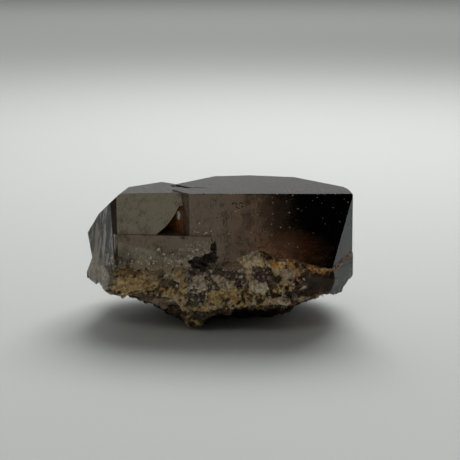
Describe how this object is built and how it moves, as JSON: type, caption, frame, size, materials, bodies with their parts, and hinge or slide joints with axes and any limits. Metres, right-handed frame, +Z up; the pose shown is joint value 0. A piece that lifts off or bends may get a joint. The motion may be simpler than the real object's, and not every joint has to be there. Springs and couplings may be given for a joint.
{
  "type": "smoky quartz crystal",
  "caption": "Chunky smoky quartz hand specimen: sharp, glassy growth faces above a rough, iron-stained broken base that it rests on.",
  "frame": {"origin": "bottom centre of the bounding box, on the surface that the crystal rests on", "axes": "+X along the longest side, from the small left lobe to the blocky right end; -Y is the side of the broad front face; +Z up through the long flat top face"},
  "size_m": [0.0826, 0.0446, 0.0419],
  "materials": {
    "smoky_quartz": "glassy, see-through grey-brown growth faces, nearly black in the thick right half; the broken zone along the bottom is rough and stained ochre, rust and cream"
  },
  "bodies": {
    "root": {"smoky_quartz_crystal": "smoky_quartz"}
  },
  "joints": []
}
